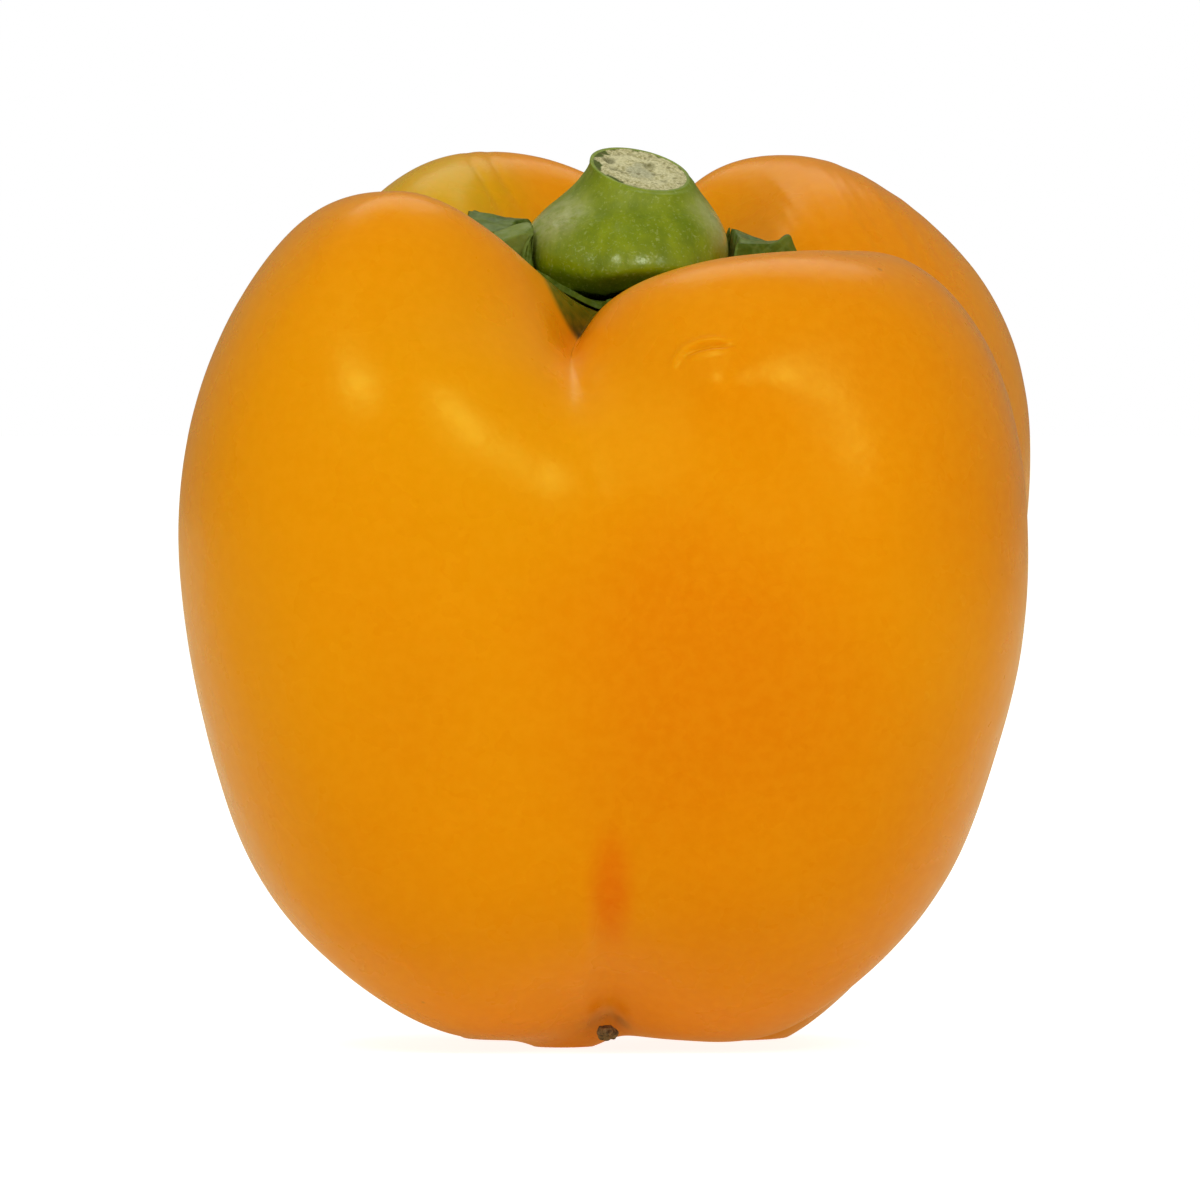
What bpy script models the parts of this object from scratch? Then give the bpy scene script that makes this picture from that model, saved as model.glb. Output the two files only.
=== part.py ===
"""Bell pepper: a blocky four-lobed fruit with its calyx, its cut stem and its blossom scar.

Metres, +Z up. The pepper stands on two back lobes and on the small heel beside the scar, which
are pressed flat at z = 0. The front of the fruit faces -Y.

Each body starts as a UV sphere. Its vertices are then laid on a rule given by two numbers:
turn, which runs 0 to 8 round the fruit (even at a furrow, odd at the crest of a lobe), and s,
which runs from 0 at the top of the body to 1 at its bottom.
"""

import math

import bmesh
import bpy
import numpy as np

MM = 0.001

# ---------------------------------------------------------------- driving dimensions, mm
SEAT = (2.5, 0.0, 72.3)      # where the stem sits, at the bottom of the hollow
BLOSSOM = (0.4, -1.0, 2.3)   # the blossom end
STATIONS = (0.0, 0.10, 0.21, 0.34, 0.50, 0.65, 0.77, 0.85, 1.0)

# A crest or a furrow: azimuth at the top, side and base, then (radius, height) down it.
# The seven pairs are hollow, lip, shoulder, widest, lower side, flank and foot.
CRESTS = (
    ((-41, -38, -38), ((12, 75.0), (27, 79.4), (39.5, 71), (45.5, 47), (42, 25), (32.5, 9.5), (21, 1.6))),
    ((54, 40, 40), ((13, 78.0), (24, 88.5), (42, 80.8), (48.5, 57), (43, 27), (34.5, 10), (22.5, 0.0))),
    ((120, 128, 132), ((13, 78.0), (23, 88.8), (38, 82), (46.5, 55), (42, 27), (31.5, 9.5), (19.5, 0.0))),
    ((222, 220, 222), ((12, 75.0), (28, 84.6), (43.2, 75.7), (50.4, 52), (43.5, 26), (33, 9.5), (20.5, 1.8))),
)
FURROWS = (
    ((-107, -93, -88), ((9.5, 72.9), (17.5, 69.7), (28, 65), (38.5, 47), (35.5, 26), (25, 10), (11, 2.6))),
    ((8, 3, 0), ((11, 76.0), (20, 78.0), (33, 71), (39, 49), (36, 26), (26, 11), (11, 4))),
    ((80, 86, 88), ((11, 77.0), (20, 82), (32, 75), (38.5, 52), (35.5, 26), (25, 11), (11, 4))),
    ((166, 174, 178), ((11, 75.8), (20, 79), (34, 72), (41, 52), (37, 26), (26, 11), (11, 4))),
)
FULLNESS = ((3.4, 2.4), (2.6, 3.4), (2.6, 3.2), (2.2, 2.1))  # of each lobe, toward its two furrows
SHARPNESS = (0.9, 0.05, 0.6)  # of the furrows at the top, side and base: 1 is a crease
HEEL = (-3.2, -6.5, 4.0, 2.7)  # x, y, radius and drop of the heel beside the scar

SEPALS = ((8, 1.15), (82, 0.8), (160, 1.2), (225, 0.7), (298, 0.5))  # azimuth, length
SEPAL_HALF = 34              # degrees, half the width of a sepal at its root
CALYX_EDGE = 0.092           # s of the calyx between sepals
SEPAL_REACH = 0.058          # s that a full sepal adds to it
SEPAL_CURL = 0.8             # how far a tip turns up off the fruit
CALYX_THICK = (0.9, 0.8)     # at the middle, at the edge

# The stem's side: how far down it, radius, x of its axis
STEM = ((0.0, 5.0, 4.0), (0.1, 5.55, 4.0), (0.2, 6.3, 3.9), (0.3, 7.35, 3.65), (0.4, 8.55, 3.25),
        (0.5, 9.5, 2.8), (0.62, 10.1, 2.5), (0.75, 10.25, 2.5), (0.88, 10.0, 2.5), (1.0, 9.0, 2.5))
STEM_BASE = 0.078            # s of the hollow where the stem's base ends
CUT = (87.35, -0.20, 0.40)   # height of the cut face at its middle, its slope along x and y
CUT_MIDDLE = (4.0, 0.0)
STEM_RIBS = 0.018            # how far its five faint ribs stand out

# The blossom scar, in the low end of the front furrow: middle, outward axis, radius, half its depth
SCAR = ((0.7, -13.6, 1.65), (0.0, -0.43, -0.90), 1.0, 0.7)
GAP = 0.45                   # between a body and the one it sits on
MIDDLE = (0.7, 0.1)          # the middle of the whole pepper's box, which becomes the origin
ROUNDS = {"fruit_body": (64, 36), "calyx": (60, 16), "stem": (40, 18), "blossom_scar": (16, 8)}


# ---------------------------------------------------------------- the rules
def blend(low, high, x):
    t = np.clip((x - low) / (high - low), 0.0, 1.0)
    return t * t * (3.0 - 2.0 * t)


def graded(values, s, upper, lower):
    """The first value at the top, the second at the side and the third at the base."""
    top, side, base = values
    return top + (side - top) * blend(*upper, s) + (base - side) * blend(*lower, s)


def curve_through(pairs, s):
    """A smooth curve through the pairs at STATIONS, level at both ends."""
    t = np.array(STATIONS)
    p = np.array(pairs, float)
    h = np.diff(t)
    d = np.diff(p, axis=0) / h[:, None]
    system = np.eye(len(t))
    right = np.zeros((len(t), 2))
    right[0] = (np.hypot(*d[0]), 0.0)
    right[-1] = (-np.hypot(*d[-1]), 0.0)
    for i in range(1, len(t) - 1):
        system[i, i - 1 : i + 2] = (h[i], 2 * (h[i - 1] + h[i]), h[i - 1])
        right[i] = 3 * (h[i] * d[i - 1] + h[i - 1] * d[i])
    m = np.linalg.solve(system, right)
    k = np.clip(np.searchsorted(t, s, side="right") - 1, 0, len(t) - 2)
    u = ((s - t[k]) / h[k])[:, None]
    step = h[k][:, None]
    start = (1 + 2 * u) * (1 - u) ** 2 * p[k] + u * (1 - u) ** 2 * step * m[k]
    return start + u * u * (3 - 2 * u) * p[k + 1] + u * u * (u - 1) * step * m[k + 1]


def azimuth_of(turn, s):
    """Azimuth, in radians, of the meridian at this turn."""
    swing = ((0.18, 0.48), (0.58, 0.86))
    marks = []
    for furrow, crest in zip(FURROWS, CRESTS):
        marks.append(graded(furrow[0], s, *swing))
        marks.append(graded(crest[0], s, *swing))
    marks.append(marks[0] + 360.0)
    marks = np.array(marks)
    low = np.floor(turn).astype(int)
    pick = np.arange(len(turn))
    first = marks[low, pick]
    return np.radians(first + (marks[low + 1, pick] - first) * (turn - low))


def skin(turn, s):
    """Points of the fruit's skin, as x, y and z in millimetres."""
    crests = np.array([curve_through(((0, SEAT[2]),) + c[1] + ((0, BLOSSOM[2]),), s) for c in CRESTS])
    furrows = np.array([curve_through(((0, SEAT[2]),) + f[1] + ((0, BLOSSOM[2]),), s) for f in FURROWS])
    half = np.floor(turn).astype(int)
    after = half % 2
    lobe = half // 2
    furrow = (lobe + after) % 4
    t = np.where(after == 1, 1.0 - (turn - half), turn - half)
    full = np.array(FULLNESS)[lobe, after]
    sharp = graded(SHARPNESS, s, (0.15, 0.48), (0.60, 0.88))
    crease = 1.0 - (1.0 - t) ** full
    valley = 0.5 * (1.0 - np.cos(math.pi * t))
    w = (sharp * crease + (1.0 - sharp) * valley)[:, None]
    pick = np.arange(len(turn))
    rho, z = (furrows[furrow, pick] * (1.0 - w) + crests[lobe, pick] * w).T
    angle = azimuth_of(turn, s)
    up = blend(BLOSSOM[2], SEAT[2], z)
    x = BLOSSOM[0] + (SEAT[0] - BLOSSOM[0]) * up + rho * np.cos(angle)
    y = BLOSSOM[1] + (SEAT[1] - BLOSSOM[1]) * up + rho * np.sin(angle)
    away = ((x - HEEL[0]) ** 2 + (y - HEEL[1]) ** 2) / HEEL[2] ** 2
    z = z - HEEL[3] * np.exp(-away) * (z < 20.0)
    return x, y, np.maximum(z, 0.0)


def sepal_at(turn):
    """1 on the middle line of a full sepal, 0 between sepals."""
    angle = np.degrees(azimuth_of(turn, np.full(len(turn), 0.1)))
    out = np.zeros(len(turn))
    for middle, length in SEPALS:
        off = np.abs((angle - middle + 180.0) % 360.0 - 180.0) / SEPAL_HALF
        out = np.maximum(out, length * np.clip(1.0 - off, 0.0, 1.0) ** 0.8)
    return out


def fruit_rule(turn, s):
    return skin(turn, s)


def calyx_rule(turn, s):
    """Upper face, then the edge, then the under face, which follows the hollow."""
    edge = 7.0 / 16.0
    q = np.clip(np.minimum(s, 1.0 - s) / edge, 0.0, 1.0)
    side = np.clip((1.0 - edge - s) / (1.0 - 2.0 * edge), 0.0, 1.0)
    sepal = sepal_at(turn)
    x, y, z = skin(turn, q * (CALYX_EDGE + SEPAL_REACH * sepal))
    thick = CALYX_THICK[0] + (CALYX_THICK[1] - CALYX_THICK[0]) * q**2
    return x, y, z + GAP + side * thick + SEPAL_CURL * sepal * q**5


def stem_rule(turn, s):
    """The cut face, the flared side, then the under face, which follows the calyx."""
    face, under = 4.0 / 18.0, 14.0 / 18.0
    parts, radii, axis = np.array(STEM).T
    down = np.clip((1.0 - s) / (1.0 - under), 0.0, 1.0)
    foot_x, foot_y, hollow = skin(turn, STEM_BASE * down)
    base = hollow + 2.0 * GAP + CALYX_THICK[0]
    angle = azimuth_of(turn, np.full(len(turn), STEM_BASE))
    rim_x = radii[0] * np.cos(angle)
    rim_y = radii[0] * np.sin(angle)
    rim = CUT[0] + CUT[1] * rim_x + CUT[2] * rim_y
    fall = np.clip((s - face) / (under - face), 0.0, 1.0)
    z = rim + (base - rim) * fall
    ribs = 1.0 + STEM_RIBS * blend(0.1, 0.6, fall) * np.cos(5.0 * angle + 0.9)
    r = np.interp(fall, parts, radii) * ribs
    x = np.interp(fall, parts, axis) + r * np.cos(angle)
    y = r * np.sin(angle)
    # Near its base the side draws in to the edge of the under face.
    drawn = fall**8
    x = x + (foot_x - x) * drawn
    y = y + (foot_y - y) * drawn
    # The face shrinks to its middle, in its own sloping plane.
    flat = s < face
    inward = np.clip(s / face, 0.0, 1.0)
    x = np.where(flat, CUT_MIDDLE[0] + (x - CUT_MIDDLE[0]) * inward, x)
    y = np.where(flat, y * inward, y)
    return x, y, np.where(flat, CUT[0] + (rim - CUT[0]) * inward, z)


def scar_rule(turn, s):
    """A flat nub; s is 0 on the side that faces the skin."""
    middle, axis, radius, depth = SCAR
    angle = turn * math.pi / 4.0
    out = np.array(axis) / np.linalg.norm(axis)
    across = np.cross((1.0, 0.0, 0.0), out)
    r = radius * np.sin(math.pi * s) * (1.0 + 0.12 * np.cos(3.0 * angle))
    along = -depth * np.cos(math.pi * s)
    p = np.array(middle)[:, None] + out[:, None] * along + across[:, None] * r * np.sin(angle)
    return p[0] + r * np.cos(angle), p[1], p[2]


# ---------------------------------------------------------------- building
def clear():
    for obj in list(bpy.data.objects):
        bpy.data.objects.remove(obj, do_unlink=True)


def material(name, colour, roughness):
    mat = bpy.data.materials.new(name)
    mat.use_nodes = True
    shader = mat.node_tree.nodes["Principled BSDF"]
    shader.inputs["Base Color"].default_value = (*colour, 1.0)
    shader.inputs["Roughness"].default_value = roughness
    return mat


def grown(name, rule, mat, shelf):
    """A UV sphere whose vertices are laid on the rule."""
    segments, rings = ROUNDS[name]
    mesh = bpy.data.meshes.new(name)
    bm = bmesh.new()
    bmesh.ops.create_uvsphere(bm, u_segments=segments, v_segments=rings, radius=1.0)
    co = np.array([v.co[:] for v in bm.verts])
    s = np.round(np.arccos(np.clip(co[:, 2], -1.0, 1.0)) / math.pi * rings) / rings
    part = np.round(np.arctan2(co[:, 1], co[:, 0]) / math.tau * segments) % segments
    x, y, z = rule(part * 8.0 / segments, s)
    for vert, place in zip(bm.verts, zip(x, y, z)):
        vert.co = (MM * (place[0] - MIDDLE[0]), MM * (place[1] - MIDDLE[1]), MM * place[2])
    for face in bm.faces:
        face.smooth = True
    bm.to_mesh(mesh)
    bm.free()
    mesh.materials.append(mat)
    obj = bpy.data.objects.new(name, mesh)
    shelf.objects.link(obj)
    return obj


def main():
    clear()
    shelf = bpy.data.collections.new("bell_pepper")
    bpy.context.scene.collection.children.link(shelf)
    grown("fruit_body", fruit_rule, material("fruit_skin", (0.80, 0.27, 0.0), 0.3), shelf)
    grown("calyx", calyx_rule, material("calyx_green", (0.10, 0.16, 0.03), 0.6), shelf)
    grown("stem", stem_rule, material("stem_green", (0.17, 0.25, 0.02), 0.5), shelf)
    grown("blossom_scar", scar_rule, material("dry_scar", (0.16, 0.11, 0.06), 0.9), shelf)


main()
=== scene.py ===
"""Bell pepper: the finished fruit, calyx, stem and blossom scar, in the frame of the CAD.

The bodies are grown on the same rules as the CAD, much finer, with the relief that the CAD
leaves out. Lengths in the rules are millimetres; the meshes are metres, +Z up.
"""

import math

import bpy
import numpy as np
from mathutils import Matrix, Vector


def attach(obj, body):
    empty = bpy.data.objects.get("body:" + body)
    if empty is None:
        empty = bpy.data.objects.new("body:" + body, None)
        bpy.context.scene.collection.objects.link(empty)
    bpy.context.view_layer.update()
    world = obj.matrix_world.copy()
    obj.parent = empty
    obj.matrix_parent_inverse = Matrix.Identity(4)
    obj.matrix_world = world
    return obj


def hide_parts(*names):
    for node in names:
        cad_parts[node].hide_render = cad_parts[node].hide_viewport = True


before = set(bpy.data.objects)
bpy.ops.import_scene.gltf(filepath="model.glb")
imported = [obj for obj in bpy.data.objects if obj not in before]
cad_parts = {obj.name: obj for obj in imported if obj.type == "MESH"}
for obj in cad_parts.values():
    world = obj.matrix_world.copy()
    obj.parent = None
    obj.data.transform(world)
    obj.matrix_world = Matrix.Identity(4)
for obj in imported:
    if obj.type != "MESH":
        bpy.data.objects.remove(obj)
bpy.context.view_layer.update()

MM = 0.001

# ---------------------------------------------------------------- the pepper's rules, as in the CAD
# The poles: where the stem sits in the hollow, and the blossom end.
SEAT = (2.5, 0.0, 72.3)
BLOSSOM = (0.4, -1.0, 2.3)
# The stations down the fruit, in s: 0 at the seat and 1 at the blossom end. Each crest and furrow
# has its azimuth at the top, side and base, and its (radius, z) at the stations between the poles.
STATIONS = (0.0, 0.10, 0.21, 0.34, 0.50, 0.65, 0.77, 0.85, 1.0)
CRESTS = (
    ((-41, -38, -38),
     ((12, 75.0), (27, 79.4), (39.5, 71), (45.5, 47), (42, 25), (32.5, 9.5), (21, 1.6))),
    ((54, 40, 40),
     ((13, 78.0), (24, 88.5), (42, 80.8), (48.5, 57), (43, 27), (34.5, 10), (22.5, 0.0))),
    ((120, 128, 132),
     ((13, 78.0), (23, 88.8), (38, 82), (46.5, 55), (42, 27), (31.5, 9.5), (19.5, 0.0))),
    ((222, 220, 222),
     ((12, 75.0), (28, 84.6), (43.2, 75.7), (50.4, 52), (43.5, 26), (33, 9.5), (20.5, 1.8))),
)
FURROWS = (
    ((-107, -93, -88),
     ((9.5, 72.9), (17.5, 69.7), (28, 65), (38.5, 47), (35.5, 26), (25, 10), (11, 2.6))),
    ((8, 3, 0),
     ((11, 76.0), (20, 78.0), (33, 71), (39, 49), (36, 26), (26, 11), (11, 4))),
    ((80, 86, 88),
     ((11, 77.0), (20, 82), (32, 75), (38.5, 52), (35.5, 26), (25, 11), (11, 4))),
    ((166, 174, 178),
     ((11, 75.8), (20, 79), (34, 72), (41, 52), (37, 26), (26, 11), (11, 4))),
)
# How full each lobe is beside the furrow before it and the one after it.
FULLNESS = ((3.4, 2.4), (2.6, 3.4), (2.6, 3.2), (2.2, 2.1))
# How sharp the furrows are at the top, side and base.
SHARPNESS = (0.9, 0.05, 0.6)
CREASE_ROUND = 0.035
# The heel beside the scar: x, y, radius and depth.
HEEL = (-3.2, -6.5, 4.0, 2.7)
# A sepal: azimuth, half its width in degrees, its reach in s and how blunt it is.
SEPALS = (
    (4, 17, 0.072, 3.0),
    (82, 30, 0.045, 1.3),
    (163, 20, 0.075, 5.0),
    (195, 15, 0.045, 3.0),
    (228, 24, 0.030, 1.3),
    (292, 30, 0.012, 1.5),
)
# The calyx in s: its plain edge, and how much of it lies under the stem. Then how thick it is at
# its middle and at its edge.
CALYX_EDGE = 0.090
CALYX_INNER = 0.075
CALYX_THICK = (0.9, 0.6)
# The stem's side: how far down it, radius, x of its axis.
STEM = ((0.0, 5.0, 4.0), (0.1, 5.55, 4.0), (0.2, 6.3, 3.9), (0.3, 7.35, 3.65), (0.4, 8.55, 3.25),
        (0.5, 9.5, 2.8), (0.62, 10.1, 2.5), (0.75, 10.25, 2.5), (0.88, 10.0, 2.5), (1.0, 9.0, 2.5))
STEM_BASE = 0.078
# The cut face: z at its middle, its slope along x and along y, then its middle.
CUT = (87.35, -0.20, 0.40)
CUT_MIDDLE = (4.0, 0.0)
# Pits in the cut face: x, y, depth, then the height and the radius of the painted shade in the pit.
PITS = (
    (0.9, 1.0, 0.80, 88.4, 1.0),
    (1.5, -0.8, 0.50, 87.5, 0.8),
    (4.9, 1.9, 0.70, 88.0, 0.9),
    (6.4, -1.3, 0.35, 86.4, 0.6),
)
# The scar: middle, outward axis, radius, half its depth.
SCAR = ((0.7, -13.6, 1.65), (0.0, -0.43, -0.90), 1.0, 0.7)
GAP = 0.45
# What is taken off x and y to centre the part.
MIDDLE = (0.7, 0.1)

# The meshes' divisions round and down, how much closer the fruit's stand in front, and how many
# of the stem's rows of faces show its wood: a few less than the cut has, as its rim is bark.
FRUIT_GRID = (560, 400)
CALYX_GRID = (480, 120)
STEM_GRID = (320, 200)
SCAR_GRID = (96, 48)
FRUIT_DENSE = 0.45
CUT_ROWS = 40


def blend(low, high, x):
    t = np.clip((x - low) / (high - low), 0.0, 1.0)
    return t * t * (3.0 - 2.0 * t)


def graded(values, s, upper, lower):
    top, side, base = values
    return top + (side - top) * blend(*upper, s) + (base - side) * blend(*lower, s)


def curve(marks, pairs, s, level=True):
    """A smooth curve through the pairs at the marks, level at both ends where asked."""
    t = np.array(marks, float)
    p = np.array(pairs, float)
    h = np.diff(t)
    d = np.diff(p, axis=0) / h[:, None]
    system = np.eye(len(t))
    right = np.zeros_like(p)
    if level:
        right[0] = (np.hypot(*d[0]), 0.0)
        right[-1] = (-np.hypot(*d[-1]), 0.0)
    else:
        right[0] = d[0]
        right[-1] = d[-1]
    for i in range(1, len(t) - 1):
        system[i, i - 1 : i + 2] = (h[i], 2 * (h[i - 1] + h[i]), h[i - 1])
        right[i] = 3 * (h[i] * d[i - 1] + h[i - 1] * d[i])
    m = np.linalg.solve(system, right)
    k = np.clip(np.searchsorted(t, s, side="right") - 1, 0, len(t) - 2)
    u = ((s - t[k]) / h[k])[:, None]
    step = h[k][:, None]
    start = (1 + 2 * u) * (1 - u) ** 2 * p[k] + u * (1 - u) ** 2 * step * m[k]
    return start + u * u * (3 - 2 * u) * p[k + 1] + u * u * (u - 1) * step * m[k + 1]


def azimuth_of(turn, s):
    swing = ((0.18, 0.48), (0.58, 0.86))
    marks = []
    for furrow, crest in zip(FURROWS, CRESTS):
        marks.append(graded(furrow[0], s, *swing))
        marks.append(graded(crest[0], s, *swing))
    marks.append(marks[0] + 360.0)
    marks = np.array(marks)
    low = np.floor(turn).astype(int)
    pick = np.arange(len(turn))
    first = marks[low, pick]
    return np.radians(first + (marks[low + 1, pick] - first) * (turn - low))


def skin(turn, s):
    """Points of the fruit's skin, in millimetres. turn runs 0 to 8 round it, s 0 to 1 down it."""
    ends = ((0, SEAT[2]),), ((0, BLOSSOM[2]),)
    crests = np.array([curve(STATIONS, ends[0] + c[1] + ends[1], s) for c in CRESTS])
    furrows = np.array([curve(STATIONS, ends[0] + f[1] + ends[1], s) for f in FURROWS])
    half = np.floor(turn).astype(int)
    after = half % 2
    lobe = half // 2
    furrow = (lobe + after) % 4
    t = np.where(after == 1, 1.0 - (turn - half), turn - half)
    full = np.array(FULLNESS)[lobe, after]
    sharp = graded(SHARPNESS, s, (0.15, 0.48), (0.60, 0.88))
    widest = math.hypot(1, CREASE_ROUND) - CREASE_ROUND
    soft = (np.sqrt(t * t + CREASE_ROUND**2) - CREASE_ROUND) / widest
    crease = 1.0 - (1.0 - soft) ** full
    valley = 0.5 * (1.0 - np.cos(math.pi * t))
    w = (sharp * crease + (1.0 - sharp) * valley)[:, None]
    pick = np.arange(len(turn))
    rho, z = (furrows[furrow, pick] * (1.0 - w) + crests[lobe, pick] * w).T
    angle = azimuth_of(turn, s)
    up = blend(BLOSSOM[2], SEAT[2], z)
    x = BLOSSOM[0] + (SEAT[0] - BLOSSOM[0]) * up + rho * np.cos(angle)
    y = BLOSSOM[1] + (SEAT[1] - BLOSSOM[1]) * up + rho * np.sin(angle)
    away = ((x - HEEL[0]) ** 2 + (y - HEEL[1]) ** 2) / HEEL[2] ** 2
    z = z - HEEL[3] * np.exp(-away) * (z < 20.0)
    return np.stack((x, y, z), axis=-1)


# ---------------------------------------------------------------- relief
def noise(points, size, seed):
    """Smooth noise from -1 to 1 whose lumps are about this size."""
    lattice = np.random.default_rng(seed).uniform(-1.0, 1.0, (32, 32, 32))
    q = points / size + 100.0
    low = np.floor(q).astype(int)
    f = q - low
    f = f * f * (3.0 - 2.0 * f)
    total = np.zeros(len(points))
    for corner in range(8):
        step = np.array((corner & 1, corner >> 1 & 1, corner >> 2 & 1))
        weight = np.prod(np.where(step == 1, f, 1.0 - f), axis=1)
        i, j, k = ((low + step) % 32).T
        total += weight * lattice[i, j, k]
    return total


def lump(points, centre, size):
    """1 at the centre, falling off as a bell of this size along each axis."""
    return np.exp(-np.sum(((points - np.array(centre)) / np.array(size)) ** 2, axis=1))


def bell(x, width):
    """1 at 0, falling off over this width."""
    return np.exp(-((x / width) ** 2))


def within(x, low, high, fade_in, fade_out):
    """1 between the two values, with a fade of these lengths inside each end."""
    return blend(low, low + fade_in, x) * (1.0 - blend(high - fade_out, high, x))


def fruit_relief(p, s):
    """How far the skin stands out of the plain rule."""
    out = 0.30 * noise(p, 21.0, 1) + 0.10 * noise(p, 10.0, 2)
    out += 0.10 * noise(p * (1.0, 1.0, 0.3), 7.0, 3) + 0.02 * noise(p, 3.0, 4)
    front = p[:, 1] < 0.0
    # A healed scratch high on the front right lobe: a fine welt in an arc, a cut below it that
    # meets it at its right end, and a low swelling under both.
    x, z = p[:, 0] - 11.0, p[:, 2] - 66.2
    angle = np.degrees(np.arctan2(z, x))
    along = within(angle, 55, 166, 17, 18) * front
    ring = np.hypot(x, z) - 4.3
    out += along * (0.20 * bell(ring, 0.34) - 0.14 * bell(ring + 0.6, 0.28))
    cut = p[:, 2] - 69.2 - 0.20 * (p[:, 0] - 8.6) + 0.05 * (p[:, 0] - 10.8) ** 2 - 0.2
    along = within(p[:, 0], 8.0, 13.6, 1.4, 1.2) * front
    out += along * (0.20 * bell(cut + 0.45, 0.30) - 0.32 * bell(cut, 0.24))
    out += 0.50 * lump(p, (11.6, -33.0, 66.2), (2.6, 14.0, 2.4))
    # Fine slanting wrinkles on the back right lobe's shoulder, and two creases on the back left.
    slanted = p @ np.array(((0.9, 0.1, 0.3), (0.2, 0.3, 0.0), (1.4, 0.2, 0.6))).T
    ruffle = noise(slanted, 1.5, 5)
    out += 0.11 * ruffle * lump(p, (27.0, 14.0, 82.0), (9.0, 14.0, 8.0))
    for shift in (-1.5, 0.6):
        line = (p[:, 0] + 11.5 + shift) + 0.6 * (p[:, 2] - 87.0)
        out -= 0.16 * bell(line, 0.45) * lump(p, (-12.0, 14.0, 87.0), (7.0, 10.0, 4.0))
    # Puckers round the blossom end.
    r = np.hypot(p[:, 0] - BLOSSOM[0], p[:, 1] - BLOSSOM[1])
    spin = np.arctan2(p[:, 1] - BLOSSOM[1], p[:, 0] - BLOSSOM[0])
    low = p[:, 2] < 15.0
    out += low * 0.18 * np.cos(9.0 * spin + 1.0) * bell(r - 5.0, 3.0)
    # A slim ridge just left of the front furrow, low down, and a dimple over the scar.
    out += 0.5 * front * bell(p[:, 0] + 1.8, 1.5) * within(p[:, 2], 4, 24, 4, 10)
    out -= 0.25 * lump(p, (0.7, -13.0, 2.9), (1.6, 2.5, 1.8))
    # Nothing moves at the poles.
    return out * blend(0.0, 0.03, s) * (1.0 - blend(0.985, 1.0, s))


def fullness(p):
    """How far the front lobes stand forward of the plain rule."""
    x, z = p[:, 0], p[:, 2]
    # The right lobe runs almost level into the front furrow at mid-height.
    out = 1.5 * lump(p, (1.5, -34.0, 57.5), (5.5, 14.0, 8.0))
    # The left lobe is fullest near the front furrow, the right one high up and low at its right.
    out += 2.2 * within(x, -33, 4, 25, 12) * within(z, 44, 76, 22, 10)
    out += 1.7 * lump(p, (12.3, -34.0, 67.2), (8.0, 14.0, 7.0))
    out += 0.6 * lump(p, (28.0, -30.0, 54.0), (7.0, 14.0, 9.0))
    # The furrow's crease is rounded off below its top.
    line = x + 0.1 + 0.14 * (z - 59.0)
    out += 0.8 * bell(line, 2.4) * within(z, 56, 70.5, 9, 4.5)
    return out * (p[:, 1] < 0.0)


def normals(grid):
    """Outward normals of a grid of points that closes round."""
    round_way = np.roll(grid, -1, axis=1) - np.roll(grid, 1, axis=1)
    down_way = np.gradient(grid, axis=0)
    n = np.cross(down_way, round_way)
    return n / np.maximum(np.linalg.norm(n, axis=2, keepdims=True), 1e-12)


def pushed(points, amount, shape):
    """The points moved along the grid's normals."""
    grid = points.reshape(*shape, 3)
    return (grid + normals(grid) * amount.reshape(*shape, 1)).reshape(-1, 3)


# ---------------------------------------------------------------- the four bodies
def fruit_rule(turn, s, shape):
    p = skin(turn, s)
    forward = fullness(p)
    p = pushed(p, fruit_relief(p, s), shape)
    p[:, 1] -= forward
    p[:, 2] = np.maximum(p[:, 2], 0.0)
    return p


def reach_of(angle):
    """How far the calyx reaches past its plain edge, in s."""
    out = np.zeros(len(angle))
    for middle, half, reach, blunt in SEPALS:
        off = np.abs((np.degrees(angle) - middle + 180.0) % 360.0 - 180.0) / half
        out = np.maximum(out, reach * (1.0 - np.clip(off, 0.0, 1.0) ** blunt))
    return out


def raised(top, height, mask, soft=0.35):
    """The higher of the two where the mask is 1, with a rounded step between them."""
    higher = 0.5 * (top + height + np.sqrt((top - height) ** 2 + soft**2))
    return top + (higher - top) * mask


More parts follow.
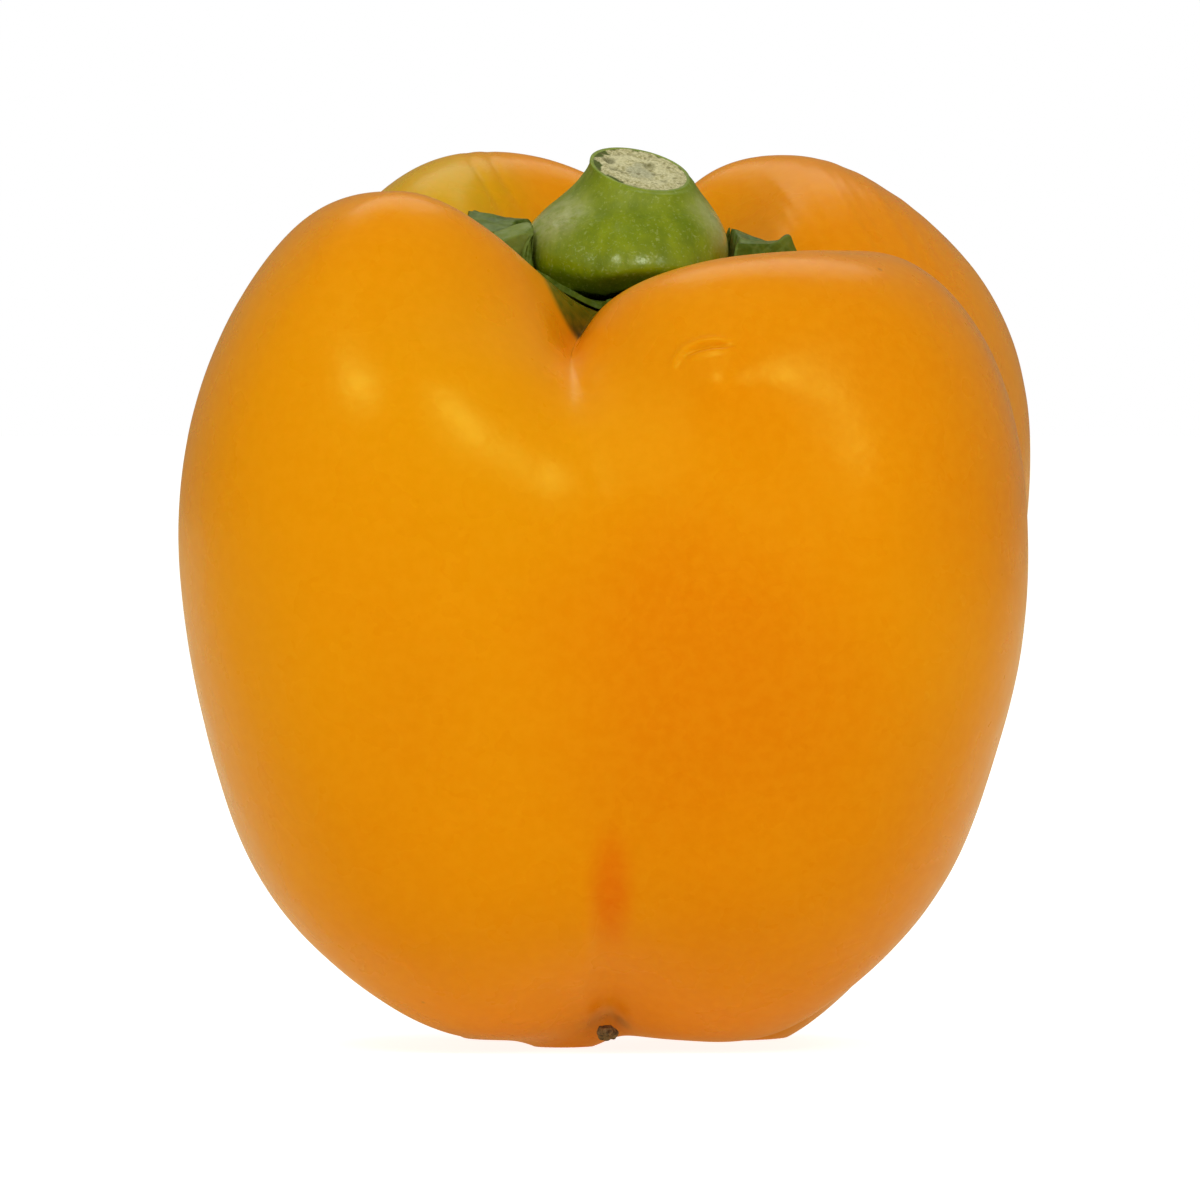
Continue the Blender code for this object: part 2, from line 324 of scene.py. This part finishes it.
def calyx_rule(turn, s, shape):
    """Upper face, then the edge, then the under face, which follows the hollow."""
    edge = 0.47
    q = np.clip(np.minimum(s, 1.0 - s) / edge, 0.0, 1.0)
    side = np.clip((1.0 - edge - s) / (1.0 - 2.0 * edge), 0.0, 1.0)
    side = 0.5 - 0.5 * np.cos(math.pi * side)
    angle = azimuth_of(turn, np.full(len(turn), 0.1))
    circle = np.stack((np.cos(angle), np.sin(angle), 0.0 * angle), axis=-1)
    ragged = 0.005 * noise(circle * 9.0, 1.0, 11) + 0.003 * noise(circle * 23.0, 1.0, 12)
    # Half of the rows lie under the stem.
    under = np.minimum(q / 0.5, 1.0)
    past = np.clip((q - 0.5) / 0.5, 0.0, 1.0)
    beyond = CALYX_EDGE - CALYX_INNER + reach_of(angle) + ragged
    p = skin(turn, CALYX_INNER * under + past * beyond)
    thick = CALYX_THICK[0] + (CALYX_THICK[1] - CALYX_THICK[0]) * q**2
    p[:, 2] += GAP
    x, y, z = p.T
    top = z + thick
    # Each raised place stays clear of the stem, whose axis is at x 2.5.
    clear = blend(10.75, 11.4, np.hypot(x - 2.5, y))
    # The right sepal is a strip that bridges the furrow, with its tip turned up.
    strip = 79.9 + 0.30 * np.clip(y + 2.0, 0.0, 6.0) * (1.0 - blend(12.0, 18.0, x))
    strip += 0.9 * blend(17.3, 18.7, x) - 2.2 * blend(18.9, 19.9, x)
    top = raised(top, strip, (x > 0) * clear * within(y, -4.5, 6.5, 1.0, 2.0))
    # The left one stands up at its back edge and slopes toward the front.
    slope = 83.2 - 0.14 * (x + 13.0) - 0.35 * np.clip(5.0 - y, 0.0, 9.0)
    slope -= 1.5 * blend(-14.6, -15.6, x)
    top = raised(top, slope, (x < 0) * clear * within(y, -3.0, 9.0, 2.0, 3.0))
    # A swollen fold lies before it.
    fold = 81.9 - 0.10 * (x + 8.0) ** 2 - 0.18 * (y + 3.4) ** 2
    top = raised(top, fold, (x < 0) * clear * blend(-7.0, -6.0, y), 0.2)
    wrinkle = 0.12 * np.cos(angle * 27.0 + 2.0 * noise(p, 4.0, 13)) * blend(0.45, 0.8, q)
    wrinkle += 0.12 * noise(p, 1.6, 14) + 0.16 * noise(p, 4.0, 15) + 0.05 * noise(p, 0.7, 16)
    top += wrinkle * (1.0 - q**6) * blend(0.0, 0.1, q)
    p[:, 2] = z + side * (top - z)
    # The raised left side leans in over the stem's swollen foot.
    lean = (x < 0) * clear * 1.3 * blend(79.4, 82.2, p[:, 2])
    p[:, 0] += lean * blend(-13.0, -9.0, x) * (1.0 - blend(-1.0, 3.0, y))
    return p


def stem_rule(turn, s, shape):
    """The cut face, the flared side, then the under face, which follows the calyx."""
    face, under = 0.22, 0.80
    down = np.clip((1.0 - s) / (1.0 - under), 0.0, 1.0)
    foot = skin(turn, STEM_BASE * down)
    base = foot[:, 2] + 2.0 * GAP + CALYX_THICK[0]
    angle = azimuth_of(turn, np.full(len(turn), STEM_BASE))
    rim_x = CUT_MIDDLE[0] + STEM[0][1] * np.cos(angle)
    rim_y = CUT_MIDDLE[1] + STEM[0][1] * np.sin(angle)
    rim = CUT[0] + CUT[1] * (rim_x - CUT_MIDDLE[0]) + CUT[2] * (rim_y - CUT_MIDDLE[1])
    fall = np.clip((s - face) / (under - face), 0.0, 1.0)
    z = rim + (base - rim) * fall
    table = np.array(STEM)
    rows = curve(table[:, 0], table[:, 1:], fall, level=False)
    swell = blend(0.1, 0.6, fall)
    ribs = 1.0 + swell * (0.018 * np.cos(5.0 * angle + 0.9) + 0.008 * np.cos(9.0 * angle + 2.0))
    r = rows[:, 0] * ribs
    # In front it is slimmer at mid-height and swells lower down.
    forward = np.clip(-np.sin(angle), 0.0, 1.0) ** 2
    r += forward * (0.6 * bell(fall - 0.90, 0.25) - 0.5 * bell(fall - 0.50, 0.22))
    drawn = fall ** (8.0 + 8.0 * forward)
    x = rows[:, 1] + r * np.cos(angle)
    y = r * np.sin(angle)
    x = x + (foot[:, 0] - x) * drawn
    y = y + (foot[:, 1] - y) * drawn
    flat = s < face
    inward = np.clip(s / face, 0.0, 1.0)
    x = np.where(flat, CUT_MIDDLE[0] + (x - CUT_MIDDLE[0]) * inward, x)
    y = np.where(flat, y * inward, y)
    z = np.where(flat, CUT[0] + (rim - CUT[0]) * inward, z)
    p = np.stack((x, y, z), axis=-1)
    # The wood of the cut face lies a little below its rim, rough, with a few pits.
    sunk = flat * (1.0 - blend(0.86, 0.97, inward))
    fibres = noise(p, 0.45, 21) * 0.10 + noise(p, 0.9, 22) * 0.10
    pith = -0.22 * np.exp(-((inward / 0.42) ** 4))
    p[:, 2] += sunk * (-0.08 + fibres + pith)
    for pit_x, pit_y, deep, _, _ in PITS:
        p[:, 2] -= flat * deep * bell(p[:, 0] - pit_x, 0.40) * bell(p[:, 1] - pit_y, 0.45)
    side = (~flat) * blend(0.0, 0.06, fall) * (1.0 - blend(0.97, 1.0, fall))
    grain = 0.28 * noise(p, 5.0, 23) + 0.08 * noise(p * (1.0, 1.0, 0.35), 1.8, 24)
    grain += 0.02 * noise(p, 0.7, 25)
    return pushed(p, side * grain, shape)


def scar_rule(turn, s, shape):
    """A flat, ragged nub with a sunken middle; s is 0 on the side that faces the skin."""
    middle, axis, radius, depth = SCAR
    angle = turn * math.pi / 4.0
    out = np.array(axis) / np.linalg.norm(axis)
    across = np.cross((1.0, 0.0, 0.0), out)
    wave = 1.0 + 0.12 * np.cos(3.0 * angle) + 0.05 * np.cos(7.0 * angle + 1.0)
    r = radius * np.sin(math.pi * s) ** 0.8 * wave
    along = -depth * np.cos(math.pi * s) - 0.45 * np.exp(-((r / 0.4) ** 2)) * (s > 0.5)
    p = np.array(middle) + out * along[:, None] + across * (r * np.sin(angle))[:, None]
    p[:, 0] += r * np.cos(angle)
    rough = 0.14 * noise(p, 0.5, 31) + 0.05 * noise(p, 0.2, 32)
    return pushed(p, rough * blend(0.0, 0.2, s) * (1.0 - blend(0.85, 1.0, s)), shape)


def grown(name, rule, grid, materials, node, dense=0.0):
    """A closed body on a rule: quads between its rings, and a fan at each pole."""
    around, down = grid
    # The meridians stand closer in front, where the furrow and the finest relief are.
    part = np.arange(around) / around
    part = part - dense * np.sin(math.tau * part) / math.tau
    turn, s = np.meshgrid(8.0 * part, np.linspace(0.0, 1.0, down + 1))
    p = rule(turn.ravel(), s.ravel(), turn.shape).reshape(down + 1, around, 3)
    p = (p - (*MIDDLE, 0.0)) * MM
    rings = p[1:-1]
    verts = np.concatenate((p[0, :1], rings.reshape(-1, 3), p[-1, :1]))
    here = np.arange(around)
    after = (here + 1) % around
    rows = 1 + np.arange(down - 2)[:, None] * around
    below = rows + around
    quads = np.stack((rows + here, below + here, below + after, rows + after), axis=-1)
    last = 1 + (down - 2) * around
    top = np.stack((np.zeros(around, int), 1 + here, 1 + after), axis=-1)
    bottom = np.stack((np.full(around, len(verts) - 1), last + after, last + here), axis=-1)
    faces = quads.reshape(-1, 4).tolist() + top.tolist() + bottom.tolist()
    mesh = bpy.data.meshes.new(name)
    mesh.from_pydata(verts.tolist(), [], faces)
    mesh.polygons.foreach_set("use_smooth", [True] * len(faces))
    for mat in materials:
        mesh.materials.append(mat)
    obj = bpy.data.objects.new(name, mesh)
    bpy.context.scene.collection.objects.link(obj)
    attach(obj, "root")
    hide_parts(node)
    return obj


# ---------------------------------------------------------------- materials
class Shader:
    """A small helper for node trees: each call adds a node and returns its first output."""

    def __init__(self, name):
        self.mat = bpy.data.materials.new(name)
        self.mat.use_nodes = True
        self.tree = self.mat.node_tree
        self.base = self.tree.nodes["Principled BSDF"]
        self.place = self.node("ShaderNodeTexCoord").outputs["Object"]

    def node(self, kind, inputs=(), **settings):
        made = self.tree.nodes.new(kind)
        for key, value in settings.items():
            setattr(made, key, value)
        for key, value in dict(inputs).items():
            if isinstance(value, bpy.types.NodeSocket):
                self.tree.links.new(value, made.inputs[key])
            else:
                made.inputs[key].default_value = value
        return made

    def noise(self, size_mm, detail=2.0, roughness=0.5, vector=None):
        inputs = {"Vector": vector or self.place, "Scale": 1.0 / (size_mm * MM)}
        inputs.update({"Detail": detail, "Roughness": roughness})
        return self.node("ShaderNodeTexNoise", inputs).outputs["Fac"]

    def cells(self, size_mm, feature="F1"):
        inputs = {"Vector": self.place, "Scale": 1.0 / (size_mm * MM)}
        return self.node("ShaderNodeTexVoronoi", inputs, feature=feature)

    def stretched(self, x, y, z):
        return self.node("ShaderNodeMapping", {"Vector": self.place, "Scale": (x, y, z)}).outputs[0]

    def ramp(self, value, low, high, out_low=0.0, out_high=1.0):
        inputs = {"Value": value, "From Min": low, "From Max": high}
        inputs.update({"To Min": out_low, "To Max": out_high})
        return self.node("ShaderNodeMapRange", inputs, interpolation_type="SMOOTHSTEP").outputs[0]

    def maths(self, operation, a, b=0.0):
        return self.node("ShaderNodeMath", {0: a, 1: b}, operation=operation).outputs[0]

    def near(self, centre_mm, radius_mm, soft=0.5):
        """1 inside a ball, falling to 0 at its radius."""
        away = self.distance(self.place, [v * MM for v in centre_mm])
        return self.ramp(away, radius_mm * MM * soft, radius_mm * MM, 1.0, 0.0)

    def axis(self, letter):
        return self.node("ShaderNodeSeparateXYZ", {0: self.place}).outputs[letter]

    def mix(self, factor, a, b):
        made = self.node("ShaderNodeMix", {0: factor}, data_type="RGBA")
        for socket, value in ((made.inputs[6], a), (made.inputs[7], b)):
            if isinstance(value, bpy.types.NodeSocket):
                self.tree.links.new(value, socket)
            else:
                socket.default_value = (*value, 1.0)
        return made.outputs[2]

    def over(self, colour, where, amount, target):
        """The colour with this much of the target over it where this is 1."""
        return self.mix(self.maths("MULTIPLY", where, amount), colour, target)

    def distance(self, vector, point):
        inputs = {0: vector, 1: point}
        return self.node("ShaderNodeVectorMath", inputs, operation="DISTANCE").outputs["Value"]

    def bump(self, height, distance_mm, strength=1.0, under=None):
        inputs = {"Height": height, "Distance": distance_mm * MM, "Strength": strength}
        if under:
            inputs["Normal"] = under
        return self.node("ShaderNodeBump", inputs).outputs[0]

    def finish(self, colour, roughness, normal, **plain):
        self.tree.links.new(colour, self.base.inputs["Base Color"])
        self.tree.links.new(roughness, self.base.inputs["Roughness"])
        self.tree.links.new(normal, self.base.inputs["Normal"])
        for key, value in plain.items():
            self.base.inputs[key.replace("_", " ")].default_value = value
        return self.mat


def fruit_skin():
    m = Shader("fruit_skin")
    colour = m.mix(m.ramp(m.noise(32.0, 2.0), 0.35, 0.7), (0.77, 0.268, 0.0), (0.74, 0.234, 0.0))
    # Yellower to the left. A deeper orange low on the right and on the right lobe's flank is
    # painted shade where the skin turns from the light.
    colour = m.mix(m.ramp(m.axis("X"), -0.010, -0.042, 0.0, 0.70), colour, (0.77, 0.290, 0.0))
    colour = m.over(colour, m.near((10, -38, 38), 24, 0.1), 0.55, (0.72, 0.175, 0.0))
    colour = m.over(colour, m.near((34, -22, 55), 20, 0.2), 0.35, (0.74, 0.20, 0.0))
    # Yellower on the upper front: a broad painted highlight where the lamps' sheen falls.
    colour = m.over(colour, m.near((-12, -36, 64), 26, 0.15), 0.75, (0.76, 0.310, 0.0))
    # A yellow-green patch on the back left lobe's shoulder.
    colour = m.over(colour, m.near((-19, 12, 86), 15, 0.25), 0.8, (0.58, 0.36, 0.0))
    # Olive in the furrow below the calyx, browner toward the crease, both darkened as painted shade
    # in the hollow.
    hollow = m.near((-2.5, -11.5, 74.0), 7.0, 0.75)
    olive_and_shade_wedge = m.maths("MULTIPLY", hollow, m.ramp(m.axis("Y"), -0.0195, -0.0165))
    brown, green = (0.085, 0.025, 0.001), (0.115, 0.105, 0.004)
    colour = m.mix(olive_and_shade_wedge, colour, m.mix(m.ramp(m.axis("Z"), 0.0700, 0.0740), brown, green))
    # A deeper orange streak along the front furrow's low end is painted shade on the furrow's
    # shaded side; brown round the scar.
    away = m.distance(m.stretched(1.0, 0.0, 0.35), (0.0004, 0.0, 0.0058))
    low_front = m.near((0.0, -32.0, 17.0), 16.0, 0.6)
    furrow_shade_streak = m.maths("MULTIPLY", m.ramp(away, 0.0003, 0.0030, 1.0, 0.0), low_front)
    colour = m.over(colour, furrow_shade_streak, 0.8, (0.74, 0.140, 0.0))
    colour = m.over(colour, m.near((1.0, -13.6, 2.2), 1.9, 0.3), 0.6, (0.42, 0.13, 0.002))
    # Paler, even mottling at about a millimetre, and rare brown specks.
    mottle = m.ramp(m.noise(1.1, 3.0, 0.6), 0.3, 0.7, 0.0, 0.16)
    colour = m.mix(mottle, colour, (0.88, 0.36, 0.01))
    cells = m.cells(9.0)
    chance = m.node("ShaderNodeSeparateColor", {0: cells.outputs["Color"]}).outputs[0]
    rare = m.maths("GREATER_THAN", chance, 0.93)
    speck = m.maths("MULTIPLY", m.ramp(cells.outputs["Distance"], 0.02, 0.045, 1.0, 0.0), rare)
    colour = m.over(colour, speck, 0.6, (0.35, 0.13, 0.01))
    # Duller in the furrow beside the front right lobe.
    roughness = m.ramp(m.noise(6.0, 3.0), 0.3, 0.7, 0.25, 0.32)
    dull = m.maths("MULTIPLY", m.near((3.5, -33.0, 61.0), 8.0, 0.4), 0.28)
    roughness = m.maths("ADD", roughness, dull)
    normal = m.bump(m.noise(0.8, 2.0), 0.05, 0.35)
    normal = m.bump(m.noise(2.6, 2.0), 0.10, 0.30, normal)
    return m.finish(
        colour, roughness, normal, IOR=1.32, Specular_Tint=(0.7, 1.0, 0.1, 1.0),
        Subsurface_Weight=0.2, Subsurface_Radius=(1.0, 0.4, 0.08), Subsurface_Scale=0.003,
    )


def stem_green():
    m = Shader("stem_green")
    grain = m.noise(2.4, 5.0, 0.65, m.stretched(1.0, 1.0, 0.4))
    colour = m.mix(m.ramp(grain, 0.30, 0.70), (0.135, 0.190, 0.001), (0.215, 0.275, 0.002))
    # Painted shade darkens the foot, under the stem's swell where it meets the calyx; darker green
    # in faint patches, and yellower low on the right.
    colour = m.mix(m.ramp(m.axis("Z"), 0.0772, 0.0738, 0.0, 0.8), colour, (0.035, 0.070, 0.002))
    colour = m.mix(m.ramp(m.noise(4.0, 2.0), 0.45, 0.75, 0.0, 0.30), colour, (0.060, 0.120, 0.001))
    colour = m.mix(m.near((11.5, -3.0, 79.0), 4.0, 0.2), colour, (0.24, 0.22, 0.002))
    # A dusty bloom on its shoulders and flanks, with a painted sheen where the light grazes them,
    # broken up by the grain.
    flank = m.near((-5.5, -4.0, 82.5), 5.5, 0.25)
    flank = m.maths("MAXIMUM", flank, m.near((10.8, -2.0, 82.0), 5.0, 0.2))
    bloom_and_sheen = m.maths("MULTIPLY", flank, m.ramp(m.noise(1.2, 4.0, 0.7), 0.30, 0.65, 0.35, 1.0))
    colour = m.over(colour, bloom_and_sheen, 0.75, (0.38, 0.39, 0.17))
    # Fine pale speckles.
    specks = m.ramp(m.noise(0.40, 3.0, 0.7), 0.54, 0.70, 0.0, 0.50)
    colour = m.mix(specks, colour, (0.34, 0.40, 0.12))
    roughness = m.ramp(m.noise(2.5, 3.0), 0.3, 0.7, 0.19, 0.28)
    # Duller toward the cut.
    roughness = m.maths("ADD", roughness, m.ramp(m.axis("Z"), 0.0820, 0.0845, 0.0, 0.25))
    normal = m.bump(grain, 0.12, 0.25)
    normal = m.bump(m.noise(0.45, 3.0), 0.06, 0.45, normal)
    return m.finish(
        colour, roughness, normal, IOR=1.45, Specular_Tint=(0.9, 1.0, 0.7, 1.0),
        Subsurface_Weight=0.12, Subsurface_Radius=(0.5, 0.8, 0.2), Subsurface_Scale=0.002,
    )


def cut_face():
    m = Shader("stem_cut")
    fibre = m.noise(0.30, 4.0, 0.7)
    colour = m.mix(m.ramp(fibre, 0.36, 0.62), (0.34, 0.31, 0.13), (0.66, 0.62, 0.38))
    # The pith is greyer, with a paler ring round it. The bark side is green, widest on the left.
    level = m.stretched(1.0, 1.0, 0.0)
    away = m.distance(level, ((CUT_MIDDLE[0] - MIDDLE[0]) * MM, -MIDDLE[1] * MM, 0.0))
    wobble = m.maths("ADD", away, m.ramp(m.noise(1.4, 3.0), 0.3, 0.7, -0.0005, 0.0005))
    colour = m.mix(m.ramp(wobble, 0.0021, 0.0009, 0.0, 0.55), colour, (0.40, 0.41, 0.30))
    ring = m.maths("MULTIPLY", m.ramp(wobble, 0.0020, 0.0026), m.ramp(wobble, 0.0036, 0.0029))
    colour = m.over(colour, ring, 0.5, (0.72, 0.69, 0.44))
    left = m.ramp(m.axis("X"), 0.0050, -0.0005, 0.0, 0.0007)
    edge = m.maths("ADD", wobble, left)
    colour = m.mix(m.ramp(edge, 0.0048, 0.0052), colour, (0.07, 0.10, 0.006))
    # Painted shade: a dark spot over each pit's hollow.
    for x, y, _, z, size in PITS:
        pit_shade = m.near((x - MIDDLE[0], y - MIDDLE[1], z), size, 0.2)
        colour = m.over(colour, pit_shade, 0.85, (0.05, 0.055, 0.012))
    pits = m.ramp(m.noise(0.8, 2.0), 0.60, 0.68, 0.0, 0.6)
    colour = m.mix(pits, colour, (0.15, 0.13, 0.04))
    normal = m.bump(fibre, 0.25, 0.8)
    return m.finish(colour, m.ramp(fibre, 0.3, 0.7, 0.75, 0.9), normal)


def calyx_green():
    m = Shader("calyx_green")
    patches = m.ramp(m.noise(2.2, 3.0, 0.6), 0.3, 0.7)
    colour = m.mix(patches, (0.045, 0.080, 0.003), (0.110, 0.150, 0.010))
    # The fold at the left of the stem is paler, painted light on its lit top; the veins are paler
    # too.
    colour = m.over(colour, m.near((-9.5, -4.0, 80.8), 4.2, 0.3), 0.80, (0.18, 0.23, 0.045))
    colour = m.mix(m.ramp(m.noise(0.6, 2.0), 0.55, 0.7, 0.0, 0.4), colour, (0.16, 0.20, 0.06))
    veins = m.cells(1.6, "DISTANCE_TO_EDGE")
    vein = m.ramp(veins.outputs["Distance"], 0.03, 0.10, 0.35, 0.0)
    colour = m.mix(vein, colour, (0.12, 0.18, 0.04))
    normal = m.bump(m.noise(0.9, 3.0), 0.2, 0.5)
    normal = m.bump(veins.outputs["Distance"], 0.2, 0.4, normal)
    roughness = m.ramp(m.noise(1.5), 0.3, 0.7, 0.40, 0.60)
    return m.finish(colour, roughness, normal, IOR=1.35, Specular_Tint=(0.8, 1.0, 0.5, 1.0))


def dry_scar():
    m = Shader("dry_scar")
    patches = m.ramp(m.noise(0.4, 3.0, 0.7), 0.3, 0.7)
    colour = m.mix(patches, (0.05, 0.035, 0.02), (0.28, 0.20, 0.12))
    normal = m.bump(m.noise(0.25, 3.0), 0.15, 0.8)
    return m.finish(colour, m.ramp(m.noise(0.5), 0.3, 0.7, 0.8, 0.95), normal)


# ---------------------------------------------------------------- the stage, in metres
# Half the floor's width, how far it lies under the pepper, and the point the lights look at.
FLOOR_HALF = 6.0
FLOOR_DROP = 0.0002
AIM = (0.0, 0.0, 0.05)


def floor():
    mesh = bpy.data.meshes.new("floor")
    corners = [(x * FLOOR_HALF, y * FLOOR_HALF, 0) for x, y in ((-1, -1), (1, -1), (1, 1), (-1, 1))]
    mesh.from_pydata(corners, [], [(0, 1, 2, 3)])
    m = Shader("floor_white")
    colour = m.mix(m.noise(60.0), (0.62, 0.62, 0.62), (0.66, 0.66, 0.66))
    mat = m.finish(colour, m.ramp(m.noise(40.0), 0.3, 0.7, 0.6, 0.7), m.bump(m.noise(2.0), 0.02))
    # It glows white to the camera, and dimmer and warm to all else.
    seen = m.node("ShaderNodeLightPath").outputs["Is Camera Ray"]
    glow = m.mix(seen, (1.0, 0.85, 0.35), (1.0, 1.0, 1.0))
    m.tree.links.new(glow, m.base.inputs["Emission Color"])
    m.tree.links.new(m.ramp(seen, 0.0, 1.0, 0.36, 0.85), m.base.inputs["Emission Strength"])
    mesh.materials.append(mat)
    obj = bpy.data.objects.new("floor", mesh)
    obj.location.z = -FLOOR_DROP
    bpy.context.scene.collection.objects.link(obj)


def softbox(name, azimuth, elevation, distance, size, power):
    """A soft light that looks at the pepper, from an azimuth to the right of the front."""
    turn, rise = math.radians(azimuth), math.radians(elevation)
    light = bpy.data.lights.new(name, "AREA")
    light.shape = "RECTANGLE"
    light.size, light.size_y = size
    light.energy = power
    obj = bpy.data.objects.new(name, light)
    level = math.cos(rise)
    way = Vector((math.sin(turn) * level, -math.cos(turn) * level, math.sin(rise)))
    obj.location = way * distance + Vector(AIM)
    obj.rotation_euler = way.to_track_quat("Z", "Y").to_euler()
    bpy.context.scene.collection.objects.link(obj)


def surroundings():
    """White behind and beside, dimmer on the viewer's side, and plain white to the camera."""
    world = bpy.data.worlds.new("studio")
    bpy.context.scene.world = world
    world.use_nodes = True
    tree = world.node_tree
    tree.nodes.clear()
    way = tree.nodes.new("ShaderNodeTexCoord")
    split = tree.nodes.new("ShaderNodeSeparateXYZ")
    tree.links.new(way.outputs["Generated"], split.inputs[0])
    ramp = tree.nodes.new("ShaderNodeMapRange")
    ramp.interpolation_type = "SMOOTHSTEP"
    for key, value in (("From Min", -0.6), ("From Max", 0.25), ("To Min", 0.66), ("To Max", 0.26)):
        ramp.inputs[key].default_value = value
    tree.links.new(split.outputs["Y"], ramp.inputs["Value"])
    path = tree.nodes.new("ShaderNodeLightPath")
    brighter = tree.nodes.new("ShaderNodeMath")
    brighter.operation = "MAXIMUM"
    tree.links.new(path.outputs["Is Camera Ray"], brighter.inputs[0])
    tree.links.new(ramp.outputs[0], brighter.inputs[1])
    shade = tree.nodes.new("ShaderNodeBackground")
    warm = tree.nodes.new("ShaderNodeMix")
    warm.data_type = "RGBA"
    warm.inputs[6].default_value = (1.0, 0.97, 0.74, 1.0)
    warm.inputs[7].default_value = (1.0, 1.0, 1.0, 1.0)
    tree.links.new(path.outputs["Is Camera Ray"], warm.inputs[0])
    tree.links.new(warm.outputs[2], shade.inputs["Color"])
    tree.links.new(brighter.outputs[0], shade.inputs["Strength"])
    out = tree.nodes.new("ShaderNodeOutputWorld")
    tree.links.new(shade.outputs[0], out.inputs[0])


def camera():
    distance, height, rise = 1.5, 0.0443, math.radians(1.2)
    data = bpy.data.cameras.new("camera")
    data.sensor_width = 36.0
    data.lens = 450.0
    data.clip_end = 50.0
    obj = bpy.data.objects.new("camera", data)
    target = Vector((-MIDDLE[0] * MM, 0.0, height))
    obj.location = target + Vector((0.0, -distance * math.cos(rise), distance * math.sin(rise)))
    obj.rotation_euler = (target - obj.location).to_track_quat("-Z", "Y").to_euler()
    bpy.context.scene.collection.objects.link(obj)
    bpy.context.scene.camera = obj


def main():
    camera()
    looks = [fruit_skin()]
    grown("pepper_fruit", fruit_rule, FRUIT_GRID, looks, "fruit_body", FRUIT_DENSE)
    grown("pepper_calyx", calyx_rule, CALYX_GRID, [calyx_green()], "calyx")
    looks = [stem_green(), cut_face()]
    stem = grown("pepper_stem", stem_rule, STEM_GRID, looks, "stem")
    grown("pepper_scar", scar_rule, SCAR_GRID, [dry_scar()], "blossom_scar")
    # The cut face's rows come first, and the fan at its middle last but one.
    around = STEM_GRID[0]
    picks = np.zeros(len(stem.data.polygons), int)
    picks[: CUT_ROWS * around] = 1
    picks[-2 * around : -around] = 1
    stem.data.polygons.foreach_set("material_index", picks)
    floor()
    softbox("key_left", -28, 42, 1.7, (0.36, 0.36), 6.5)
    softbox("key_right", 30, 37, 1.7, (0.36, 0.36), 6.1)
    softbox("top_back", 180, 60, 1.5, (1.2, 0.8), 5.0)
    surroundings()
    bpy.context.scene.view_settings.view_transform = "Standard"


main()
